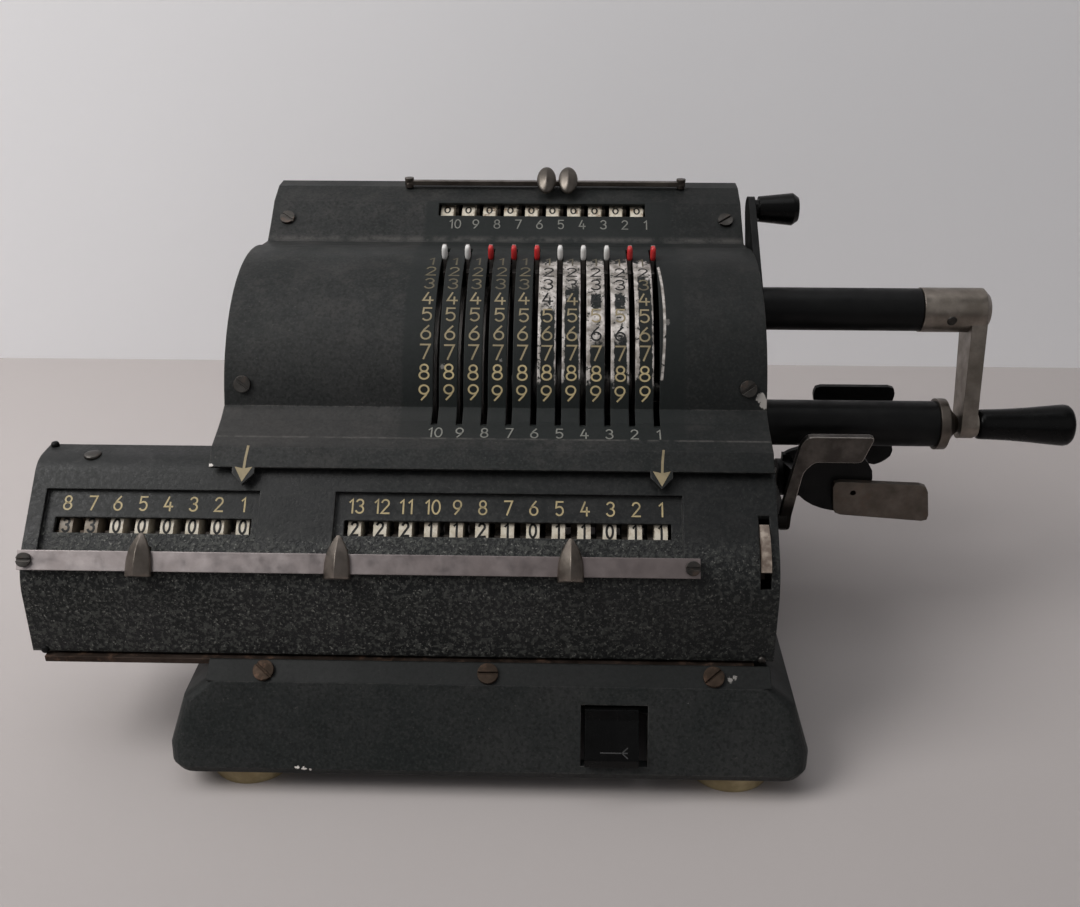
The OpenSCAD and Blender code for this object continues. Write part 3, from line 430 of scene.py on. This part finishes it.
key_grey = figure_paint("key_mark", (0.045, 0.045, 0.045), (0.028, 0.028, 0.028))
red = plastic("red_tip", (0.50, 0.020, 0.020), (0.33, 0.015, 0.016), 0.35)
white = plastic("white_tip", (0.66, 0.65, 0.63), (0.46, 0.45, 0.43), 0.35)

LOOK = {
    "upper_cover": cover_paint(),
    "base": base_paint(),
    "carriage_cover": carriage_paint(),
    "feet": plastic("olive_rubber", (0.24, 0.185, 0.095), (0.42, 0.34, 0.19), 0.8),
    "crank_arm": metal("worn_nickel", (0.31, 0.275, 0.24), (0.17, 0.147, 0.124), 0.36),
    "counter_clear_lever": lever_nickel(),
    # The bar is painted duller towards the right, as painted shade of its fading reflection
    "decimal_bar": metal("bar_steel", (0.46, 0.415, 0.41), (0.30, 0.265, 0.26), 0.44, (0.05, 1, 1),
                         painted_dimming=(-130, 45)),
    "result_clear_paddle": metal("paddle_steel", (0.17, 0.145, 0.125), (0.10, 0.085, 0.072), 0.45, rust=0.3),
    "carriage_rack": metal("rusty_steel", (0.082, 0.062, 0.052), (0.042, 0.031, 0.025), 0.55, rust=0.6),
    "base_screws": metal("rusted_screws", (0.085, 0.060, 0.045), (0.035, 0.026, 0.02), 0.6, rust=0.6),
    "result_wheels": wheel_enamel("cream_enamel", 0.35, result_x(1), 2.1),
    "counter_wheels": wheel_enamel("counter_enamel", 0.35, counter_x(1), 2.1, brown_to=(-117.5, -120.5)),
    "back_transfer_lever": slider_enamel(),
}
LOOK.update(dict.fromkeys(["crank_handle", "setting_clear_knob", "shift_key"], black_gloss))
LOOK.update(dict.fromkeys(["crank_tube", "stop_tube", "setting_clear_lever", "result_clear_lever",
                           "side_plate_left", "side_plate_right"], black_enamel))
LOOK.update(dict.fromkeys(["stop_cap", "top_rail"], dark_nickel))
LOOK.update(dict.fromkeys(["cover_screws", "bar_screws", "foot_screws"], screw))
for name, obj in nodes.items():
    other = stained_enamel if name.startswith("check_dial") else plain_steel
    obj.data.materials.clear()
    obj.data.materials.append(LOOK.get(name, other))


# ---------------------------------------------------------------- figures as raised strokes
def arc(cx, cy, rx, ry, a0, a1, n=10):
    return [(cx + rx * math.cos(math.radians(a0 + (a1 - a0) * i / n)),
             cy + ry * math.sin(math.radians(a0 + (a1 - a0) * i / n))) for i in range(n + 1)]


# Each figure's strokes, in a box one high whose middle is the origin
FIGURES = {
    "0": [arc(0, 0, 0.27, 0.5, 90, 450, 22)],
    "1": [[(-0.16, 0.30), (0.04, 0.5), (0.04, -0.5)]],
    "2": [arc(0, 0.24, 0.25, 0.26, 165, -38, 10) + [(-0.27, -0.5), (0.28, -0.5)]],
    "3": [arc(-0.01, 0.26, 0.24, 0.24, 155, -88, 10), arc(-0.01, -0.24, 0.27, 0.26, 88, -155, 11)],
    "4": [[(0.0, 0.5), (-0.27, -0.2), (0.3, -0.2)], [(0.13, 0.1), (0.13, -0.5)]],
    "5": [[(0.24, 0.5), (-0.2, 0.5), (-0.23, 0.06)] + arc(0.0, -0.18, 0.26, 0.32, 118, -140, 11)],
    "6": [[(0.14, 0.5), (-0.1, 0.2)] + arc(0.0, -0.2, 0.27, 0.3, 135, 495, 18)],
    "7": [[(-0.27, 0.5), (0.27, 0.5), (-0.08, -0.5)]],
    "8": [arc(0, 0.26, 0.22, 0.24, -90, 270, 16), arc(0, -0.24, 0.27, 0.26, 90, 450, 18)],
    "9": [[(-0.14, -0.5), (0.1, -0.2)] + arc(0.0, 0.2, 0.27, 0.3, -45, 315, 18)],
}
# A stroke is cut into steps of this share of the figure's height, so that it follows a round surface
STROKE_STEP = 0.26


def ribbon(bm, pts, half, place, thick=0.05):
    """A flat stroke along pts that reaches half to each side, laid by place(u, v, height)"""
    closed = (Vector(pts[0]) - Vector(pts[-1])).length < 1e-6
    pts = [Vector(p) for p in (pts[:-1] if closed else pts)]
    n = len(pts)
    rows = []
    for i, p in enumerate(pts):
        before = pts[i - 1] if i or closed else None
        after = pts[(i + 1) % n] if i < n - 1 or closed else None
        d0 = (p - before).normalized() if before is not None else (after - p).normalized()
        d1 = (after - p).normalized() if after is not None else d0
        along = (d0 + d1).normalized()
        side = Vector((-along.y, along.x)) * half / max(0.55, along.dot(d0))
        end = Vector((0, 0))
        if not closed and i in (0, n - 1):
            end = along * half * (0.8 if i else -0.8)
        rows.append([bm.verts.new(place(*(p + end + s * side), h)) for s, h in
                     ((-1, -thick), (-1, thick), (1, thick), (1, -thick))])
    pairs = [(i, i + 1) for i in range(n - 1)] + ([(n - 1, 0)] if closed else [])
    for i, j in pairs:
        for q in range(4):
            bm.faces.new((rows[i][q], rows[j][q], rows[j][(q + 1) % 4], rows[i][(q + 1) % 4]))
    if not closed:
        bm.faces.new(rows[0])
        bm.faces.new(rows[-1][::-1])


def cut(pts):
    """The points with more between them where they lie far apart"""
    out = []
    for a, b in zip(pts, pts[1:]):
        steps = max(1, int(math.dist(a, b) / STROKE_STEP))
        out += [(a[0] + (b[0] - a[0]) * s / steps, a[1] + (b[1] - a[1]) * s / steps) for s in range(steps)]
    return out + [pts[-1]]


def write(bm, text, height, place, stroke=0.12, thick=0.05, gap=0.62, squeeze=1.0):
    """The text's figures, centred on place's origin. stroke and gap are shares of the height"""
    for i, ch in enumerate(text):
        off = (i - (len(text) - 1) / 2) * gap * height * squeeze
        if ch == "1" and len(text) > 1:
            # Its stroke stands a little to the right, as beside a wider figure
            off += 0.04 * height
        for pts in FIGURES[ch]:
            ribbon(bm, [(off + px * height * squeeze, py * height) for px, py in cut(pts)],
                   stroke * height / 2, place, thick)


def on_plane(x, at, up):
    """Lays figures on a plane: up is the direction of the figures' tops, as (Y, Z)"""
    length = math.hypot(*up)
    uy, uz = up[0] / length, up[1] / length
    return lambda u, v, h: Vector((x + u, at[0] + uy * v - uz * h, at[1] + uz * v + uy * h)) * MM


def on_round(x, c, r, a):
    """Lays figures round an axis at c, their middles at the angle a"""
    return lambda u, v, h: Vector((x + u, *polar(c, r + h, a + math.degrees(v / r)))) * MM


def piece(name, bm, mats, body, smooth=False):
    bmesh.ops.recalc_face_normals(bm, faces=bm.faces)
    mesh = bpy.data.meshes.new(name)
    bm.to_mesh(mesh)
    bm.free()
    obj = bpy.data.objects.new(name, mesh)
    bpy.context.scene.collection.objects.link(obj)
    for mat in mats:
        mesh.materials.append(mat)
    for f in mesh.polygons:
        f.use_smooth = smooth
    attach(obj, body)
    return obj


def crease(obj):
    """Keeps the edges between steep faces sharp"""
    split = obj.modifiers.new("crease", "EDGE_SPLIT")
    split.split_angle = math.radians(50)


# Beside the slots: gold, duller towards the top, and painted dark on the bared metal of these columns and
# digits, as painted shade of the figures' relief
RELIEF_SHADE_ON_METAL = {1: (2,), 2: (2, 3, 4, 6), 3: (2, 3, 4, 6), 4: (2, 3), 5: (2, 3, 4)}
JITTER = 0.12


def cover_figures():
    bm = bmesh.new()
    for k in range(1, SETTING_PLACES + 1):
        for n in range(1, 10):
            start = len(bm.faces)
            x = slot_x(k) - DIGIT_LEFT + random.uniform(-JITTER, JITTER)
            a = DIGIT_TOP - DIGIT_STEP * n + random.uniform(-JITTER, JITTER)
            write(bm, str(n), 4.6, on_round(x, DRUM, COVER_R, a), squeeze=1.2)
            bm.faces.ensure_lookup_table()
            # A figure on bared metal is painted dark, as painted shade of its relief
            tone = 3 if n in RELIEF_SHADE_ON_METAL.get(k, ()) else 2 if n <= 3 else 1 if n <= 7 else 0
            for f in bm.faces[start:]:
                f.material_index = tone
    piece("cover_figures", bm, [gold, gold_mid, gold_dim, ink_and_relief_shade], "housing")


def cover_place_figures():
    bm = bmesh.new()
    for k in range(1, SETTING_PLACES + 1):
        write(bm, str(k), 3.8, on_plane(slot_x(k) - 0.1, WINDOW_LEDGE, WINDOW_LEDGE_UP), 0.11, 0.08)
        write(bm, str(k), 4.0, on_plane(slot_x(k) + 0.5, SKIRT, SKIRT_UP), 0.11, 0.10)
    piece("cover_place_figures", bm, [pale], "housing")


def carriage_place_figures():
    """In the carriage's two recesses, above the wheels"""
    sin_s, cos_s = math.sin(math.radians(SLOPE_A)), math.cos(math.radians(SLOPE_A))
    rise = 13.9
    at = (SLOPE_FOOT[0] + rise * sin_s + RECESS_DEPTH * cos_s,
          SLOPE_FOOT[1] + rise * cos_s - RECESS_DEPTH * sin_s)
    bm = bmesh.new()
    for place_x, places in ((result_x, RESULT_PLACES), (counter_x, COUNTER_PLACES)):
        for k in range(1, places + 1):
            write(bm, str(k), 4.3, on_plane(place_x(k) + 0.2, at, (sin_s, cos_s)), gap=0.6)
    piece("carriage_place_figures", bm, [gold], "carriage")


def wheel_figures(name, body, place_x, reads):
    """reads: the digit that each place shows, from the right"""
    bm = bmesh.new()
    for k, value in enumerate(reads, 1):
        for n in range(10):
            place = on_round(place_x(k), WHEEL, WHEEL_R, WHEEL_READ_A - WHEEL_STEP * n)
            write(bm, str((value + n) % 10), 4.2, place, 0.17, squeeze=0.85)
    piece(name, bm, [ink_and_relief_shade], body)


def dial_figures(k):
    bm = bmesh.new()
    for n in range(10):
        place = on_round(slot_x(k) - DIAL_LEFT, DIAL, DIAL_R, DIAL_READ_A - DIAL_STEP * n)
        write(bm, str(n), 3.3, place, 0.17, squeeze=1.05)
    piece(f"dial_figures_{k}", bm, [ink_and_relief_shade], f"dial_{k}")


cover_figures()
cover_place_figures()
carriage_place_figures()
wheel_figures("result_figures", "result_register", result_x, [1, 1, 0, 1, 1, 0, 1, 2, 1, 1, 2, 2, 2])
wheel_figures("counter_figures", "counter_register", counter_x, [0, 0, 0, 0, 0, 0, 3, 3])
for k in range(1, SETTING_PLACES + 1):
    dial_figures(k)


# ---------------------------------------------------------------- coloured tips of the setting levers
# Half of a tip's size: across, round the drum and outwards
TIP_HALF = (0.95, 1.6, 2.5)


def lever_tip(k, mat):
    """A rounded paddle: square in section, domed at the top"""
    bm = bmesh.new()
    bmesh.ops.create_uvsphere(bm, u_segments=16, v_segments=12, radius=1.0)
    for v in bm.verts:
        u, w, h = [math.copysign(abs(t) ** 0.6, t) * half for t, half in zip(v.co, TIP_HALF)]
        v.co = Vector((slot_x(k) + u, *polar(DRUM, TIP_R + 0.2 + h, TIP_A + math.degrees(w / TIP_R)))) * MM
    piece(f"lever_tip_{k}", bm, [mat], f"lever_{k}", smooth=True)


for k, mat in enumerate([red, red, white, white, white, red, red, red, white, white], 1):
    lever_tip(k, mat)


# ---------------------------------------------------------------- index arrows and the shift key's mark
def index_arrows():
    """Painted on the two tongues of the skirt's lip"""
    bm = bmesh.new()
    lip_up = (LIP_MIDDLE[0] - LIP_EDGE[0], LIP_MIDDLE[1] - LIP_EDGE[1])
    for x in (counter_x(1), result_x(1)):
        place = on_plane(x, LIP_EDGE, lip_up)
        ribbon(bm, [(0.7, 6.8), (0.3, 3.0), (0.15, -0.4)], 0.38, place)
        head = [(-2.7, 0.1), (0.1, -0.5), (2.7, 0.1), (0, -4.8)]
        low = [bm.verts.new(place(u, v, -0.05)) for u, v in head]
        top = [bm.verts.new(place(u, v, 0.06)) for u, v in head]
        bm.faces.new(top)
        bm.faces.new(low[::-1])
        for i in range(4):
            bm.faces.new((low[i], low[(i + 1) % 4], top[(i + 1) % 4], top[i]))
    piece("index_arrows", bm, [gold_mid], "housing")


def key_mark():
    bm = bmesh.new()
    place = on_plane(KEY_X, KEY_FACE, KEY_UP)
    for line in ([(-3.4, 0), (4.6, 0)], [(3.0, 0), (4.7, 1.5)], [(3.0, 0), (4.7, -1.5)]):
        ribbon(bm, line, 0.17, place)
    piece("key_mark", bm, [key_grey], "shift")


index_arrows()
key_mark()


# ---------------------------------------------------------------- smooth pointers
def block(bm, place, lo, hi):
    made = bmesh.ops.create_cube(bm, size=1.0)
    for v in made["verts"]:
        v.co = place(*[a + (b - a) * (t + 0.5) for a, b, t in zip(lo, hi, v.co)])


# Sections of a decimal pointer up the bar: height, half the width, how far the crest and the foot stand out
HORN = [(-4.6, 3.75, 2.9, 2.1), (-4.3, 3.95, 3.9, 2.1), (-3.4, 3.95, 4.25, 2.1), (-2.0, 3.9, 4.4, 2.1),
        (0.0, 3.8, 4.2, 2.1), (1.6, 3.6, 3.9, 2.1), (2.9, 3.3, 3.5, 2.1), (4.0, 2.95, 3.0, 2.0),
        (5.1, 2.5, 2.5, 1.8), (6.0, 2.05, 2.1, 1.6), (6.8, 1.6, 1.6, 1.45), (7.6, 1.15, 1.2, 1.3),
        (8.2, 0.7, 0.8, 1.2), (8.6, 0.25, 0.4, 1.2)]
HORN_ACROSS = [-1, -0.85, -0.6, -0.3, 0, 0.3, 0.6, 0.85, 1]
HORN_RIM = 0.45
# The two hooks of a pointer round the bar's edges: from and to across, up the bar and out of it
HOOKS = [((-3.8, -4.5, -0.4), (3.8, -3.1, 2.3)), ((-2.7, 3.1, -0.4), (2.7, 4.5, 2.3))]


def decimal_pointer(i):
    name = f"decimal_pointer_{i}"
    x = middle_x(name)
    sin_b, cos_b = math.sin(math.radians(BAR_A)), math.cos(math.radians(BAR_A))

    def on_bar(u, v, w):
        return Vector((x + u, BAR_MID[0] + v * sin_b - w * cos_b, BAR_MID[1] + v * cos_b + w * sin_b)) * MM

    bm = bmesh.new()
    rows = []
    for v, half, crest, foot in HORN:
        rim = foot + HORN_RIM
        row = [(t * half, v, rim + (crest - HORN_RIM) * (1 - abs(t) ** 1.12)) for t in HORN_ACROSS]
        row += [(half, v, foot), (-half, v, foot)]
        rows.append([bm.verts.new(on_bar(*p)) for p in row])
    for p, q in zip(rows, rows[1:]):
        for j in range(len(p)):
            bm.faces.new((p[j], p[(j + 1) % len(p)], q[(j + 1) % len(p)], q[j]))
    bm.faces.new(rows[0])
    bm.faces.new(rows[-1][::-1])
    for lo, hi in HOOKS:
        block(bm, on_bar, lo, hi)
    obj = piece(name + "_horn", bm, [pointer_nickel], f"pointer_{i}", smooth=True)
    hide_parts(name)
    crease(obj)


# The ring of a top pointer round its rail, as four bars: from and to along the rail, back and up
RING = [((-2.4, -2.4, -0.65), (2.4, 1.9, -0.1)), ((-2.4, -2.4, 1.7), (2.4, 1.9, 2.3)),
        ((-2.4, -2.4, -0.4), (2.4, -1.35, 2.0)), ((-2.4, 1.35, -0.4), (2.4, 1.9, 2.0))]


def top_pointer(i):
    name = f"top_pointer_{i}"
    x = middle_x(name)
    sin_t, cos_t = math.sin(math.radians(OVAL_TILT)), math.cos(math.radians(OVAL_TILT))
    bm = bmesh.new()
    bmesh.ops.create_uvsphere(bm, u_segments=32, v_segments=20, radius=1.0)
    for vert in bm.verts:
        p = vert.co.copy()
        # Half a shallow oval with a ridge along its middle, and nearly flat below
        ridge = 1.15 * math.exp(-(p.x / 0.22) ** 2) * (1 - min(1.0, abs(p.y)))
        u, v, w = p.x * 3.6, p.y * 5.9, (p.z * 2.0 + ridge * 0.5 if p.z > 0 else p.z * 0.5) + 0.6
        vert.co = Vector((x + u, OVAL[0] + v * cos_t - w * sin_t, OVAL[1] + v * sin_t + w * cos_t)) * MM
    for lo, hi in RING:
        block(bm, lambda u, v, w: Vector((x + u, RAIL[0] + v, RAIL[1] + w)) * MM, lo, hi)
    obj = piece(name + "_oval", bm, [oval_nickel], f"upper_pointer_{i}", smooth=True)
    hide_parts(name)
    crease(obj)


# ---------------------------------------------------------------- turned pieces
def lathe(bm, profile, place, sides):
    """Turns (height, radius) pairs into a round, with place(height, radius, angle) for its points. It ends in
    a point where the radius is 0, and in a flat face at the first pair otherwise"""
    rings = []
    for h, r in profile:
        angles = [j * 2 * math.pi / sides for j in range(sides if r else 1)]
        rings.append([bm.verts.new(place(h, r, a)) for a in angles])
    for p, q in zip(rings, rings[1:]):
        for j in range(sides):
            k = (j + 1) % sides
            corners = (p[j % len(p)], p[k % len(p)], q[k % len(q)], q[j % len(q)])
            bm.faces.new(list(dict.fromkeys(corners)))
    if len(rings[0]) > 1:
        bm.faces.new(rings[0][::-1])


# The crank grip from its ferrule outwards: place along its length, and radius
GRIP = [(0, 0), (0, 4.7), (0.5, 5.2), (2, 5.35), (6, 5.45), (12, 5.75), (18, 6.2), (24, 6.8), (28, 7.2),
        (30.3, 7.4), (31.6, 7.15), (32.4, 6.5), (32.9, 5.5), (33, 4.6), (33, 0)]


def crank_grip():
    lo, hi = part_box("crank_handle")
    start, stretch = lo[0] / MM, (hi[0] - lo[0]) / MM / GRIP[-1][0]

    def place(h, r, a):
        return Vector((start + h * stretch, HANDLE[0] + r * math.cos(a), HANDLE[1] + r * math.sin(a))) * MM

    bm = bmesh.new()
    lathe(bm, GRIP, place, 48)
    obj = piece("crank_grip", bm, [black_gloss], "handle", smooth=True)
    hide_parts("crank_handle")
    crease(obj)


def low_head(name, at, axis, radius, height, mat, body):
    """A low round head with an upright rim; axis points out of the surface"""
    turn = Vector((0, 0, 1)).rotation_difference(Vector(axis).normalized())
    profile = [(-0.6, radius), (0.35 * height, radius), (0.62 * height, 0.93 * radius),
               (0.85 * height, 0.75 * radius), (0.97 * height, 0.4 * radius), (height, 0)]

    def place(h, r, a):
        return (turn @ Vector((r * math.cos(a), r * math.sin(a), h)) + Vector(at)) * MM

    bm = bmesh.new()
    lathe(bm, profile, place, 24)
    piece(name, bm, [mat], body, smooth=True)


for i in (1, 2, 3):
    decimal_pointer(i)
crank_grip()
for i in (1, 2):
    top_pointer(i)
UP, FRONT = (0, 0, 1), (0, -1, 0)
low_head("carriage_top_screw", (-125.3, -35.6, 90.6), UP, 2.7, 0.9, screw, "carriage")
low_head("carriage_top_pin", (-139.6, -29.6, 90.6), UP, 1.3, 1.6, black_enamel, "carriage")
low_head("carriage_foot_pin_left", (-137.6, -66.6, 38.9), FRONT, 1.3, 1.2, black_enamel, "carriage")
low_head("carriage_foot_pin_right", (83.6, -66.6, 38.9), FRONT, 1.3, 1.2, screw, "carriage")
low_head("collar_screw", (154.7, 20.6, 117.0), (0, -0.99, -0.17), 1.7, 0.6, screw, "crank")


# ---------------------------------------------------------------- stage and light, in metres
STAGE = 4
WALL_Y, WALL_FOOT, WALL_TOP = 0.264, -0.1, 3
# The Y, in mm as in every material, between which the floor turns from its near to its far tone
FLOOR_TURNS = (-420, 100)


def plane(name, corners, mat):
    mesh = bpy.data.meshes.new(name)
    mesh.from_pydata(corners, [], [(0, 1, 2, 3)])
    obj = bpy.data.objects.new(name, mesh)
    bpy.context.scene.collection.objects.link(obj)
    mesh.materials.append(mat)


def floor_cloth():
    """Painted shade: darker in front than behind, with a fine weave"""
    m = Mat("stage_floor", rough=0.9)
    near_tone = m.mix(m.noise(3, 3), (0.27, 0.247, 0.241), (0.30, 0.276, 0.27))
    far_tone = m.mix(m.noise(3, 3), (0.42, 0.385, 0.375), (0.46, 0.425, 0.415))
    # Painted shade: the near tone is darker than the far one
    m.color = m.mix(m.step(m.place(1), *FLOOR_TURNS), near_tone, far_tone)
    m.bump(m.noise(900, 2), 0.25, 0.1)
    return m.finish()


def wall_paint():
    """Pale in front, and clear from behind"""
    m = Mat("stage_wall", rough=0.9)
    m.color = m.mix(m.noise(3, 3), (0.80, 0.795, 0.81), (0.85, 0.845, 0.86))
    m.finish()
    back = m.node("ShaderNodeNewGeometry").outputs["Backfacing"]
    clear = m.node("ShaderNodeBsdfTransparent").outputs[0]
    both = m.node("ShaderNodeMixShader", {0: back, 1: m.shader.outputs[0], 2: clear}).outputs[0]
    m.put(m.tree.nodes["Material Output"].inputs["Surface"], both)
    return m.material


def lamp(name, at, target, size, power, color):
    light = bpy.data.lights.new(name, "AREA")
    light.size = size
    light.energy = power
    light.color = color
    obj = bpy.data.objects.new(name, light)
    bpy.context.scene.collection.objects.link(obj)
    obj.location = at
    obj.rotation_euler = (Vector(target) - Vector(at)).to_track_quat("-Z", "Y").to_euler()


def world_light(color, strength):
    world = bpy.data.worlds.new("world")
    bpy.context.scene.world = world
    world.use_nodes = True
    background = world.node_tree.nodes["Background"]
    background.inputs["Color"].default_value = (*color, 1)
    background.inputs["Strength"].default_value = strength


plane("floor", [(-STAGE, -STAGE, 0), (STAGE, -STAGE, 0), (STAGE, STAGE, 0), (-STAGE, STAGE, 0)],
      floor_cloth())
plane("wall", [(-STAGE, WALL_Y, WALL_FOOT), (STAGE, WALL_Y, WALL_FOOT), (STAGE, WALL_Y, WALL_TOP),
               (-STAGE, WALL_Y, WALL_TOP)], wall_paint())
lamp("key", (-0.78, -0.30, 0.92), (0, 0, 0.05), 0.65, 11.1, (1.0, 0.985, 0.97))
lamp("fill", (0.7, -1.0, 0.8), (0, 0, 0.05), 1.2, 1.1, (1.0, 0.98, 0.97))
lamp("top", (-0.1, 0.05, 1.3), (0, 0, 0), 1.0, 4.6, (0.98, 0.99, 1.0))
world_light((0.80, 0.80, 0.82), 0.255)
